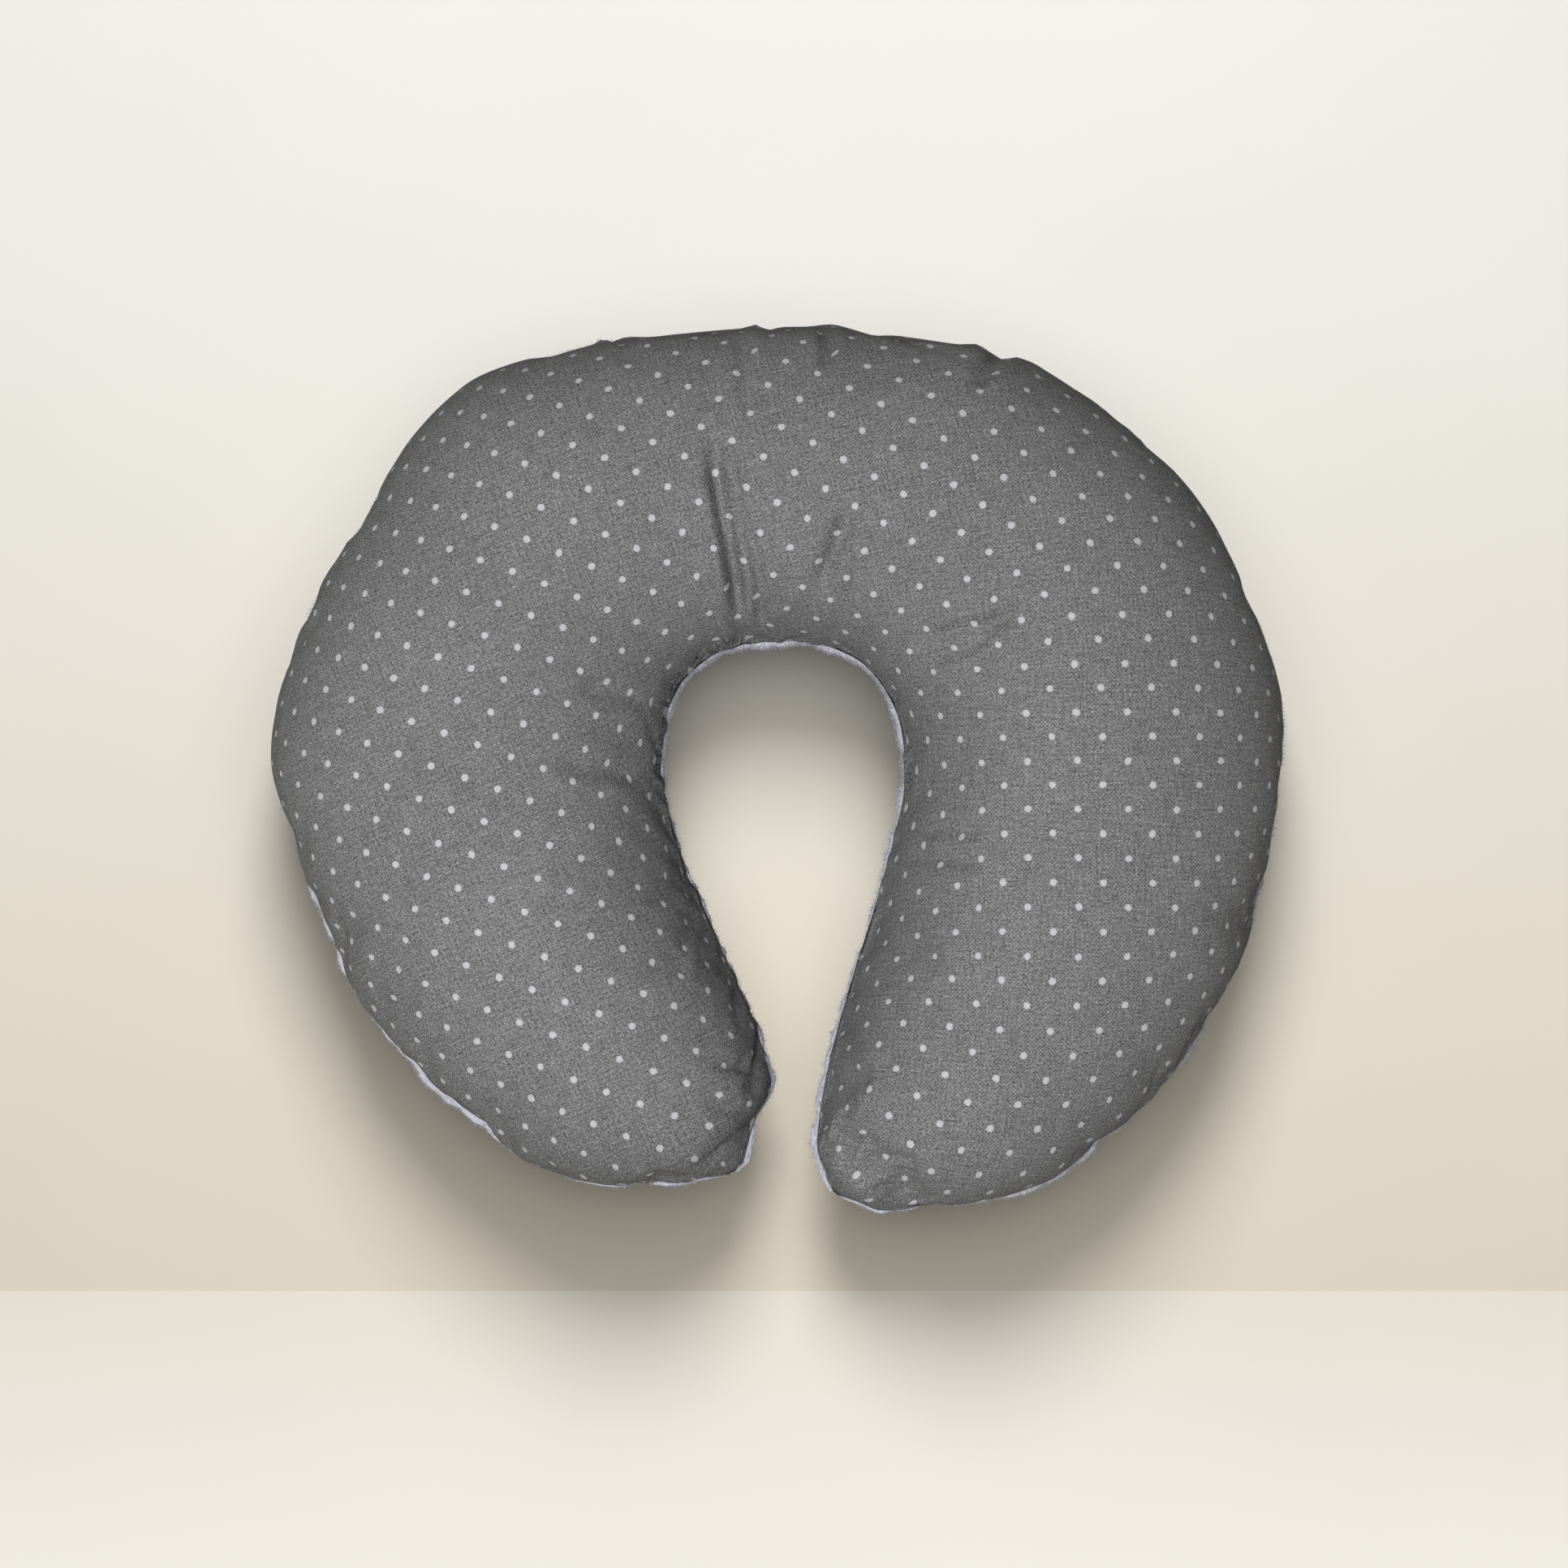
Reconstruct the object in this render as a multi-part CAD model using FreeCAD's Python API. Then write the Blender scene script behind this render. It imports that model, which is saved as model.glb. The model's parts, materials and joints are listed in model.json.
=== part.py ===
"""A C-shaped nursing pillow: a zipped cover with a woven top and a plush back, around a fibre-filled inner pillow.

Millimetres. +Z is up, the pillow lies on its plush back on Z = 0, and its open side faces -Y.
The origin is on that plane, under the centre of the pillow's bounding box.
"""

import FreeCAD, Part
import math
import os
from FreeCAD import Vector

# ---- driving sizes ------------------------------------------------------------------------------------------------
WIDTH = 510.0  # across both arms, along X, measured on the cover's seam
DEPTH = 452.0  # from the crown to the arm tips, along Y, measured on the cover's seam
SEAM_HEIGHT = 60.0  # of the seam's plane above the floor
LOFT_LIMIT = 80.0  # half height that a very wide stretch would swell to
ROUNDNESS = 0.95  # half height over half width of a very narrow stretch
TOP_RISE = 1.1  # the top swells this much more than the back, which carries the weight

TOP_FABRIC = 1.0  # woven cotton
BACK_FABRIC = 3.0  # plush, pile included
TIP_SHARE = 1.25  # how much more each inner layer is taken in at the arm tips than at the seam
LAYER_GAP = 0.95  # between the cover and the inner pillow
RIM_ROOM = 2.8  # from the seam allowance, or the zip if it reaches further in, to the inner pillow's rim
CASING_FABRIC = 1.3
FILL_GAP = 0.95
SEAT = 0.2  # between stitched pieces that lie on each other
RING_SEAT = 0.6  # between a sewn edge that runs all round and the cloth beside it

ALLOWANCE_WIDTH = 7.0  # of the cover's overlocked seam allowance
ALLOWANCE_THICKNESS = 1.6
CASING_EDGE = 1.0  # thickness and height of the inner pillow's overlocked edge
CASING_EDGE_HEIGHT = 3.0

PULL_COVER = 1.1  # how far the slider's bail lies inside the cover's edge
HEM_ROOM = 0.9  # from the slider to each of the cover's two hems
HEM_TOP = 1.0  # thickness of the woven hem
HEM_BACK = 1.5  # thickness of the plush hem
HEM_HEIGHT = 7.0  # how far a hem runs along its tape
TAPE_THICKNESS = 0.6
TAPE_EDGE = 2.9  # from the seam's plane to the edge of a tape
TAPE_HEIGHT = 10.5
TOOTH_HALF = 1.2  # half thickness of a tooth, along the zip's radius
TOOTH_PITCH = 2.5
TOOTH_LENGTH = 1.05  # along the zip
TOOTH_BITE = 0.9  # how far a tooth reaches past the middle of the zip
STOP_HALF = 1.9
STOP_LENGTH = 2.5
STITCH = 0.5
STITCH_LENGTH = 3.0
STITCH_PITCH = 4.0

SLIDER_LENGTH = 11.0
SLIDER_MOUTH_HALF = 4.6  # half width where the tapes enter
SLIDER_TAIL_HALF = 4.0
SLIDER_PLATE = 1.0
RUN_GAP = 0.3  # clearance of the slider round the teeth, the tapes and the stops
BAIL_HALF = 0.8
BAIL_SPAN = 5.6
BAIL_RISE = 2.6
BAIL_BAR = 0.8
PULL_LENGTH = 16.0
PULL_HALF = 3.5
PULL_THICKNESS = 1.2

LABEL_WIDTH = 34.0
LABEL_HEIGHT = 15.0
LABEL_THICKNESS = 0.4

# The middle of the teeth is this far in from the cover's edge, so that the slider and its pull lie in the slot.
plate_face = TOOTH_HALF + RUN_GAP + SLIDER_PLATE
ZIP_RECESS = plate_face + BAIL_RISE + BAIL_BAR + PULL_COVER
SLOT_HALF = SLIDER_MOUTH_HALF + HEM_ROOM
# The inner pillow's rim is this far in from the cover's edge.
ALLOWANCE_END = BACK_FABRIC + RING_SEAT + ALLOWANCE_WIDTH
RIM_GAP = max(ALLOWANCE_END, ZIP_RECESS + plate_face) + RIM_ROOM

# ---- the seam's outline, drawn at this size and stretched to WIDTH and DEPTH ----------------------------------------
DRAWN_WIDTH = 510.0
DRAWN_DEPTH = 452.0

# Each pair is a point of the inner edge and the point of the outer edge across the stuffed arm from it.
LEFT_ARM = [
    ((-17, -203), (-33, -210)),
    ((-12, -184), (-56, -213)),
    ((-4, -164), (-86, -212)),
    ((-8, -142), (-120, -202)),
    ((-20, -113), (-148, -184)),
    ((-34, -80), (-180, -156)),
    ((-48, -48), (-208, -121)),
    ((-56, -20), (-230, -79)),
    ((-59, -6), (-245, -39)),
    ((-59, 6), (-255, 4)),
    ((-56, 26), (-238, 73)),
    ((-50, 40), (-208, 127)),
    ((-45, 46), (-185, 162)),
    ((-37, 53), (-152, 193)),
]
RIGHT_ARM = [
    ((41, 54), (157, 185)),
    ((48, 48), (187, 160)),
    ((55, 39), (214, 131)),
    ((61, 27), (238, 86)),
    ((64, 16), (252, 46)),
    ((65, 4), (255, 4)),
    ((64, -20), (239, -84)),
    ((57, -48), (216, -132)),
    ((49, -76), (191, -166)),
    ((40, -104), (165, -190)),
    ((32, -131), (138, -210)),
    ((26, -155), (108, -220)),
    ((22, -178), (78, -224)),
    ((21, -197), (52, -226)),
    ((26, -212), (37, -221)),
]
# Across the crown the outer edge is one arc through these three points, and the zip follows it.
CROWN_ARC = [(115, 209), (15, 224), (-84, 215)]
CROWN_INNER = [(-26, 59), (-13, 62), (1, 63), (15, 63), (28, 60)]  # from left to right

PARTS = "parts"
FAR = 2000.0
UP = Vector(0, 0, 1)


def stretched(point):
    """A drawn point at the size that the pillow is made."""
    return Vector(point[0] * WIDTH / DRAWN_WIDTH, point[1] * DEPTH / DRAWN_DEPTH, 0)


def arc_through(first, middle, last):
    """The centre and radius of the circle through three points."""
    circle = Part.Arc(first, middle, last).toShape().Curve
    return circle.Center, circle.Radius


zip_centre, edge_radius = arc_through(*[stretched(p) for p in CROWN_ARC])
track_radius = edge_radius - ZIP_RECESS


def bearing(point):
    """The angle of a point about the zip's centre, in degrees from +X."""
    return math.degrees(math.atan2(point.y - zip_centre.y, point.x - zip_centre.x))


arc_start = bearing(stretched(CROWN_ARC[0]))
arc_end = bearing(stretched(CROWN_ARC[2]))
slot_length = math.radians(arc_end - arc_start) * track_radius

# Places along the zip, as distances in from the slot's right end.
TACK_PLACE = 1.2
stop_place = 3.7
mouth_place = stop_place + STOP_LENGTH + RUN_GAP
pivot_place = mouth_place + SLIDER_LENGTH / 2
teeth_place = mouth_place + 4.0
last_pivot_place = slot_length - PULL_LENGTH - 2.5
end_stop_place = last_pivot_place + SLIDER_LENGTH / 2 + RUN_GAP
travel = last_pivot_place - pivot_place


def along(place):
    """The angle of a place along the zip, in degrees."""
    return arc_start + math.degrees(place / track_radius)


# ---- the stuffed shape ------------------------------------------------------------------------------------------------
def crown_sections():
    """The pairs across the crown, whose outer points lie on the zip's arc."""
    middle = (arc_start + arc_end) / 2
    half = (arc_end - arc_start) / 2
    pairs = []
    for i, inner in enumerate(CROWN_INNER):
        angle = math.radians(middle + half * (1 - 2 * i / (len(CROWN_INNER) - 1)))
        outer = zip_centre + Vector(math.cos(angle), math.sin(angle), 0) * edge_radius
        pairs.append((stretched(inner), outer))
    return pairs


def all_sections():
    """Inner and outer seam points of every section, from the left tip round the crown to the right tip."""
    left = [(stretched(i), stretched(o)) for i, o in LEFT_ARM]
    right = [(stretched(i), stretched(o)) for i, o in RIGHT_ARM]
    return left + crown_sections() + right


def half_height(half_width):
    """Half the height of the stuffed shape: round where it is narrow, and held back by the fill where it is wide."""
    free = ROUNDNESS * half_width
    return (free**-3 + LOFT_LIMIT**-3) ** (-1 / 3)


def trimmed(sections, distance):
    """The sections without the first stretch of that length, with a new one where it ends."""
    kept = list(sections)
    while distance > 0:
        (i0, o0), (i1, o1) = kept[0], kept[1]
        step = ((i1 + o1) - (i0 + o0)).Length / 2
        if step > distance:
            share = distance / step
            kept[0] = (i0 + (i1 - i0) * share, o0 + (o1 - o0) * share)
            return kept
        kept.pop(0)
        distance -= step
    return kept


def half_ring(middle, across, height):
    """The edge from middle + across to middle - across, swelling to height over (or under) the seam's plane."""
    steps = 10
    shares = [k / steps for k in range(steps + 1)]
    points = []
    for share in shares:
        angle = math.pi * share
        points.append(middle + across * math.cos(angle) + UP * (height * math.sin(angle)))
    rise = UP * (math.pi * height)
    curve = Part.BSplineCurve()
    curve.interpolate(
        Points=points, Parameters=shares, InitialTangent=rise, FinalTangent=-rise, Scale=False
    )
    return curve.toShape()


def tapered(edge):
    """Middle, reach towards the outer seam and free height of every section, taken in by edge at the seam and tips."""
    sections = trimmed(all_sections(), TIP_SHARE * edge)
    sections = trimmed(sections[::-1], TIP_SHARE * edge)[::-1]
    result = []
    for inner, outer in sections:
        reach = (outer - inner) / 2
        across = reach * max(0.25, 1 - edge / reach.Length)
        result.append(((inner + outer) / 2, across, half_height(reach.Length)))
    return result


def stuffed(edge, top, back, side="both"):
    """The stuffed shape, taken in by edge at the seam, by top on the upper side and by back on the lower side."""
    rings = []
    for middle, across, height in tapered(edge):
        middle = middle + UP * SEAM_HEIGHT
        upper = half_ring(middle, across, max(0.25 * height, height * TOP_RISE - top))
        lower = half_ring(middle, -across, -max(0.25 * height, height - back))
        if side == "upper":
            lower = Part.LineSegment(middle - across, middle + across).toShape()
        if side == "lower":
            upper = Part.LineSegment(middle + across, middle - across).toShape()
        rings.append(Part.Wire([upper, lower]))
    solid = Part.makeLoft(rings, True, False)
    if side == "upper":
        return solid
    return solid.cut(Part.makeBox(2 * FAR, 2 * FAR, FAR, Vector(-FAR, -FAR, back - FAR)))


def slab(edge, low, high):
    """A flat C that fills the seam's outline taken in by edge, from height to height over the seam's plane."""
    base = UP * (SEAM_HEIGHT + low)
    middles = [(middle + base, across) for middle, across, _ in tapered(edge)]
    sides = []
    for points in ([m - a for m, a in middles], [m + a for m, a in reversed(middles)]):
        curve = Part.BSplineCurve()
        curve.interpolate(Points=points)
        sides.append(curve)
    near, far = sides
    edges = [
        near.toShape(),
        Part.LineSegment(near.EndPoint, far.StartPoint).toShape(),
        far.toShape(),
        Part.LineSegment(far.EndPoint, near.StartPoint).toShape(),
    ]
    return Part.Face(Part.Wire(edges)).extrude(UP * (high - low))


def flat_ring(outside, inside, low, high):
    """A flat band all round, between two distances in from the seam."""
    return slab(outside, low, high).cut(slab(inside, low - 1, high + 1))


# ---- the zip's track ----------------------------------------------------------------------------------------------
def arc_bar(first, last, near, far, low, high):
    """A curved bar along the track between two places, from near to far outward of the track, low to high."""
    base = zip_centre + UP * (SEAM_HEIGHT + low)
    sweep = along(last) - along(first)
    bar = Part.makeCylinder(track_radius + far, high - low, base, UP, sweep)
    bar = bar.cut(Part.makeCylinder(track_radius + near, high - low, base, UP, sweep))
    bar.rotate(zip_centre, UP, along(first))
    return bar


def placed(shape, place):
    """A piece drawn about the origin (X outward, Y along the zip, Z up), carried to its place on the track."""
    angle = along(place)
    moved = shape.copy()
    moved.rotate(Vector(0, 0, 0), UP, angle)
    outward = Vector(math.cos(math.radians(angle)), math.sin(math.radians(angle)), 0)
    moved.translate(zip_centre + outward * track_radius + UP * SEAM_HEIGHT)
    return moved


def block(x0, x1, y0, y1, z0, z1):
    """A box between two corners."""
    return Part.makeBox(x1 - x0, y1 - y0, z1 - z0, Vector(x0, y0, z0))


def plate(x0, x1, outline):
    """A flat piece across the track from x0 to x1, with its outline given as (along, up) points."""
    points = [Vector(x0, y, z) for y, z in outline]
    return Part.Face(Part.makePolygon(points + points[:1])).extrude(Vector(x1 - x0, 0, 0))


def mirrored(shape):
    """The same piece on the other tape."""
    return shape.mirror(Vector(0, 0, 0), UP)


# ---- the cover ------------------------------------------------------------------------------------------------------
def slot():
    """The opening between the cover's two panels that the zip closes."""
    return arc_bar(0, slot_length, -2 * ZIP_RECESS, 3 * ZIP_RECESS, -SLOT_HALF, SLOT_HALF)


def hem(thickness, skin):
    """Fabric turned in at the slot's upper edge and run up along the tape."""
    tape_face = TAPE_THICKNESS / 2 + SEAT
    fold = arc_bar(0, slot_length, tape_face, ZIP_RECESS, SLOT_HALF, SLOT_HALF + thickness)
    run = arc_bar(0, slot_length, tape_face, tape_face + thickness, SLOT_HALF, SLOT_HALF + HEM_HEIGHT)
    return fold.fuse(run).common(skin)


def flipped(shape):
    """A piece of the slot's upper edge turned over to its lower edge."""
    return shape.mirror(UP * SEAM_HEIGHT, UP)


def top_panel():
    skin = stuffed(0, 0, 0, "upper")
    panel = skin.cut(stuffed(TOP_FABRIC, TOP_FABRIC, TOP_FABRIC)).cut(slot())
    return panel.fuse(hem(HEM_TOP, skin)).removeSplitter()


def back_panel():
    skin = stuffed(0, 0, 0, "lower")
    panel = skin.cut(stuffed(BACK_FABRIC, BACK_FABRIC, BACK_FABRIC)).cut(slot())
    return panel.fuse(flipped(hem(HEM_BACK, flipped(skin)))).removeSplitter()


def cover_allowance():
    """The overlocked edges of both panels, turned inside all round except at the zip."""
    half = ALLOWANCE_THICKNESS / 2
    return flat_ring(BACK_FABRIC + RING_SEAT, ALLOWANCE_END, -half, half).cut(slot())


def care_label():
    """A blank label that hangs from the allowance inside the cover, on the outer side of the right arm."""
    start = ALLOWANCE_END + SEAT
    ribbon = flat_ring(start, start + LABEL_THICKNESS, -LABEL_HEIGHT, ALLOWANCE_THICKNESS)
    window = Part.makeBox(WIDTH, LABEL_WIDTH, 2 * FAR, Vector(WIDTH / 4, -LABEL_WIDTH / 2, -FAR))
    return ribbon.common(window)


# ---- the zip ----------------------------------------------------------------------------------------------------------
def tape():
    overrun = 8.0  # past each end of the slot, where the tape is caught in the seam
    half = TAPE_THICKNESS / 2
    return arc_bar(-overrun, slot_length + overrun, -half, half, TAPE_EDGE, TAPE_HEIGHT)


def tooth():
    """A necked tooth that stands on the upper tape's edge and reaches past the middle."""
    head = 0.65  # half lengths along the zip
    neck = 0.4
    shoulder = 0.1
    foot = TAPE_EDGE - SEAT
    right = [(neck, foot), (neck, -shoulder), (head, -shoulder), (head, -TOOTH_BITE)]
    left = [(-y, z) for y, z in reversed(right)]
    return plate(-TOOTH_HALF, TOOTH_HALF, right + left)


def teeth(one, first_place):
    """A row of teeth up to the end stop."""
    row = []
    place = first_place
    while place + TOOTH_PITCH / 2 < end_stop_place:
        row.append(placed(one, place))
        place += TOOTH_PITCH
    return Part.Compound(row)


def top_stops():
    one = block(-STOP_HALF, STOP_HALF, 0, STOP_LENGTH, TOOTH_BITE, TAPE_EDGE - SEAT)
    return Part.Compound([placed(one, stop_place), placed(mirrored(one), stop_place)])


def end_stop():
    """A staple that clamps both tapes where the teeth end."""
    reach = TAPE_EDGE - SEAT
    return placed(block(-STOP_HALF, STOP_HALF, 0, STOP_LENGTH, -reach, reach), end_stop_place)


def bar_tacks():
    """A bar of thread across both tapes at each end of the slot."""
    face = TAPE_THICKNESS / 2 + SEAT
    bar = block(face, face + STITCH, -STITCH, STITCH, -SLOT_HALF + SEAT, SLOT_HALF - SEAT)
    return Part.Compound([placed(bar, TACK_PLACE), placed(bar, slot_length - TACK_PLACE)])


def tape_stitches():
    """A row of stitches on the inside of the upper tape, where it is sewn to its hem."""
    face = -TAPE_THICKNESS / 2 - SEAT
    middle = SLOT_HALF + HEM_HEIGHT / 2
    half = STITCH / 2
    one = block(face - STITCH, face, 0, STITCH_LENGTH, middle - half, middle + half)
    count = int(slot_length / STITCH_PITCH)
    return [(one, i * STITCH_PITCH) for i in range(count)]


def slider_body():
    """Two plates joined by a post at the mouth, with lips that hold the teeth and let the tapes out."""
    half = SLIDER_LENGTH / 2
    gap = TOOTH_HALF + RUN_GAP
    outline = [
        (-half, -SLIDER_MOUTH_HALF),
        (half, -SLIDER_TAIL_HALF),
        (half, SLIDER_TAIL_HALF),
        (-half, SLIDER_MOUTH_HALF),
    ]
    lip_edge = TAPE_EDGE - SEAT + RUN_GAP
    lip_outline = [
        (-half, lip_edge),
        (half, lip_edge),
        (half, SLIDER_TAIL_HALF),
        (-half, SLIDER_MOUTH_HALF),
    ]
    lip_face = TAPE_THICKNESS / 2 + RUN_GAP
    outer_lip = plate(lip_face, gap, lip_outline)
    inner_lip = plate(-gap, -lip_face, lip_outline)
    post_end = -half + 2.9
    post = plate(-gap, gap, [(-half + 0.3, -0.6), (post_end, 0), (-half + 0.3, 0.6)])
    body = plate(gap, gap + SLIDER_PLATE, outline)
    pieces = [plate(-gap - SLIDER_PLATE, -gap, outline), outer_lip, inner_lip, post]
    pieces += [mirrored(outer_lip), mirrored(inner_lip)]
    for piece in pieces:
        body = body.fuse(piece)
    return body.removeSplitter()


pivot_height = plate_face + BAIL_RISE / 2


def slider_bail():
    """The arch on the slider that the pull tab hangs on."""
    half = BAIL_SPAN / 2
    arch = block(plate_face, plate_face + BAIL_RISE + BAIL_BAR, -half, half, -BAIL_HALF, BAIL_HALF)
    inside = half - BAIL_BAR
    return arch.cut(block(plate_face, plate_face + BAIL_RISE, -inside, inside, -FAR, FAR))


def pull_tab():
    """A flat tab with a bar that turns under the bail, a window round the bail's leg and a hole in its grip."""
    half = PULL_THICKNESS / 2
    low = pivot_height - half
    high = pivot_height + half
    grip_middle = PULL_LENGTH - PULL_HALF
    window_end = math.hypot(BAIL_SPAN / 2, BAIL_RISE / 2 + BAIL_BAR) + 2 * RUN_GAP
    window_half = BAIL_HALF + RUN_GAP + SEAT
    across = Vector(1, 0, 0)
    tab = block(low, high, 0, grip_middle, -PULL_HALF, PULL_HALF)
    tab = tab.fuse(Part.makeCylinder(PULL_HALF, PULL_THICKNESS, Vector(low, grip_middle, 0), across))
    tab = tab.cut(block(low, high, half, window_end, -window_half, window_half))
    tab = tab.cut(Part.makeCylinder(PULL_HALF / 2, PULL_THICKNESS, Vector(low, grip_middle, 0), across))
    bar = Part.makeCylinder(half, 2 * PULL_HALF, Vector(pivot_height, 0, -PULL_HALF), UP)
    return tab.fuse(bar).removeSplitter()


# ---- the inner pillow -----------------------------------------------------------------------------------------------
CASING_TOP_IN = TOP_FABRIC + LAYER_GAP
CASING_BACK_IN = BACK_FABRIC + LAYER_GAP


def inside_casing(distance, side="both"):
    """The inner pillow's shape, taken in evenly by a distance from its own surface."""
    return stuffed(RIM_GAP + distance, CASING_TOP_IN + distance, CASING_BACK_IN + distance, side)


def casing_edge():
    """The overlocked edge that joins the casing's two panels."""
    inside = RIM_GAP - RING_SEAT
    half = CASING_EDGE_HEIGHT / 2
    return flat_ring(inside - CASING_EDGE, inside, -half, half)


def closing_stitches():
    """Hand stitches over the casing's edge at the crown, where the fill went in."""
    share = 0.15  # of the slot's length to each side of its middle
    face = ZIP_RECESS - RIM_GAP + RING_SEAT + CASING_EDGE + SEAT
    one = block(face, face + STITCH, -STITCH, STITCH, -CASING_EDGE_HEIGHT / 2, CASING_EDGE_HEIGHT / 2)
    count = int(2 * share * slot_length / STITCH_PITCH)
    first = slot_length * (0.5 - share)
    return Part.Compound([placed(one, first + i * STITCH_PITCH) for i in range(count)])


def all_parts():
    """Every piece by its name, as drawn round the seam's own origin."""
    stitches = tape_stitches()
    upper_tape = tape()
    upper_tooth = tooth()
    return {
        "cover_top_panel": top_panel(),
        "cover_back_panel": back_panel(),
        "cover_seam_allowance": cover_allowance(),
        "cover_care_label": care_label(),
        "zipper_tape_upper": upper_tape,
        "zipper_tape_lower": flipped(upper_tape),
        "zipper_teeth_upper": teeth(upper_tooth, teeth_place),
        "zipper_teeth_lower": teeth(mirrored(upper_tooth), teeth_place + TOOTH_PITCH / 2),
        "zipper_top_stops": top_stops(),
        "zipper_end_stop": end_stop(),
        "zipper_bar_tacks": bar_tacks(),
        "zipper_stitches_upper": Part.Compound([placed(s, p) for s, p in stitches]),
        "zipper_stitches_lower": Part.Compound([placed(mirrored(s), p) for s, p in stitches]),
        "zipper_slider_body": placed(slider_body(), pivot_place),
        "zipper_slider_bail": placed(slider_bail(), pivot_place),
        "zipper_pull_tab": placed(pull_tab(), pivot_place),
        "casing_top_panel": inside_casing(0, "upper").cut(inside_casing(CASING_FABRIC)),
        "casing_back_panel": inside_casing(0, "lower").cut(inside_casing(CASING_FABRIC)),
        "casing_edge": casing_edge(),
        "casing_closing_stitches": closing_stitches(),
        "fibre_fill": inside_casing(CASING_FABRIC + FILL_GAP),
    }


def main():
    os.makedirs(PARTS, exist_ok=True)
    parts = all_parts()
    box = parts["cover_back_panel"].optimalBoundingBox()
    box.add(parts["cover_top_panel"].optimalBoundingBox())
    shift = Vector(-box.Center.x, -box.Center.y, 0)
    for name, shape in parts.items():
        shape.translate(shift)
        shape.exportStep(PARTS + "/" + name + ".step")


main()
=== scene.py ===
"""The nursing pillow's looks: a woven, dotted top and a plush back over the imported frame."""

import json
import math

import bpy
import numpy as np
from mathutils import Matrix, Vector


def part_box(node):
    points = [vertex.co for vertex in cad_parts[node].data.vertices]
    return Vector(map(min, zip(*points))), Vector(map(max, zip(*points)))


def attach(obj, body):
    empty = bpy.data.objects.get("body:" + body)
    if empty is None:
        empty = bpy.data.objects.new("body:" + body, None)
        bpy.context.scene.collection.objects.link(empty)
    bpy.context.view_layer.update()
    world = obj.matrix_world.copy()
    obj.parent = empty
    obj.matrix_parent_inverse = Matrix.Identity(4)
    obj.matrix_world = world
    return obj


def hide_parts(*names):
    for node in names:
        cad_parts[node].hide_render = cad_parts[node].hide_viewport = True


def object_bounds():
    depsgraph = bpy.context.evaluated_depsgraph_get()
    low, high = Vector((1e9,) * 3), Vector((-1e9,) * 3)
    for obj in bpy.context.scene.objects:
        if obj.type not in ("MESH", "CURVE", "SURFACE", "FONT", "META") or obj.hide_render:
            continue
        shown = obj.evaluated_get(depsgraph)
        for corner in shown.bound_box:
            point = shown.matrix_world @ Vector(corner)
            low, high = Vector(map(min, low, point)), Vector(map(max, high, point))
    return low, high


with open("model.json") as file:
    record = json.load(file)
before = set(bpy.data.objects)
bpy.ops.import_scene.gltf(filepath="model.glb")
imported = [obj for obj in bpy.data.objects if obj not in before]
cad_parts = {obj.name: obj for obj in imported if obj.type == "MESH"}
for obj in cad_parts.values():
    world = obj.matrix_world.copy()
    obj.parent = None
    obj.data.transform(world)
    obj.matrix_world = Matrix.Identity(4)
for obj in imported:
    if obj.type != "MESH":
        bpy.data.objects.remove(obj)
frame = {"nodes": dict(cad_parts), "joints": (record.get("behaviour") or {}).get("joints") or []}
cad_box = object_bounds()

MM = 0.001

# ---- the pillow's form, in millimetres, as the frame has it --------------------------------------
SEAM_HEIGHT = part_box("cover_top_panel")[0].z / MM
LOFT_LIMIT = 80.0  # the height that a very wide arm comes near
ROUNDNESS = 0.95  # height to half width of a narrow arm
TOP_RISE = 1.1  # how much higher the top is than the back
FLOOR = 0.4  # height of the flattened back over the floor
TIP_ROUND = 2.5  # length of the rounded end of each arm
ARM_SAMPLES = 4000  # points along the arms when their length is measured
TIP_SAMPLES = 40  # of these, how many give the direction an arm ends in
THINNEST_TIP = 0.02  # the square of the share of an arm's width that is left at its very end

# Pairs of seam points across the stuffed arm, inner then outer,
# from the left tip round the crown to the right tip.
SECTIONS = [
    ((-17, -203), (-33, -210)),
    ((-12, -184), (-56, -213)),
    ((-4, -164), (-86, -212)),
    ((-8, -142), (-120, -202)),
    ((-20, -113), (-148, -184)),
    ((-34, -80), (-180, -156)),
    ((-48, -48), (-208, -121)),
    ((-56, -20), (-230, -79)),
    ((-59, -6), (-245, -39)),
    ((-59, 6), (-255, 4)),
    ((-56, 26), (-238, 73)),
    ((-50, 40), (-208, 127)),
    ((-45, 46), (-185, 162)),
    ((-37, 53), (-152, 193)),
    ((-26, 59), (-84, 215)),
    ((-13, 62), (-34, 222)),
    ((1, 63), (16, 224)),
    ((15, 63), (66, 219)),
    ((28, 60), (115, 209)),
    ((41, 54), (157, 185)),
    ((48, 48), (187, 160)),
    ((55, 39), (214, 131)),
    ((61, 27), (238, 86)),
    ((64, 16), (252, 46)),
    ((65, 4), (255, 4)),
    ((64, -20), (239, -84)),
    ((57, -48), (216, -132)),
    ((49, -76), (191, -166)),
    ((40, -104), (165, -190)),
    ((32, -131), (138, -210)),
    ((26, -155), (108, -220)),
    ((22, -178), (78, -224)),
    ((21, -197), (52, -226)),
    ((26, -212), (37, -221)),
]
COLUMNS = 420  # of the cloth's mesh, along the arms
ROWS = 96  # of the cloth's mesh, across one panel


def unit(v):
    """Vectors scaled to length 1."""
    return v / np.maximum(np.linalg.norm(v, axis=-1, keepdims=True), 1e-9)


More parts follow.
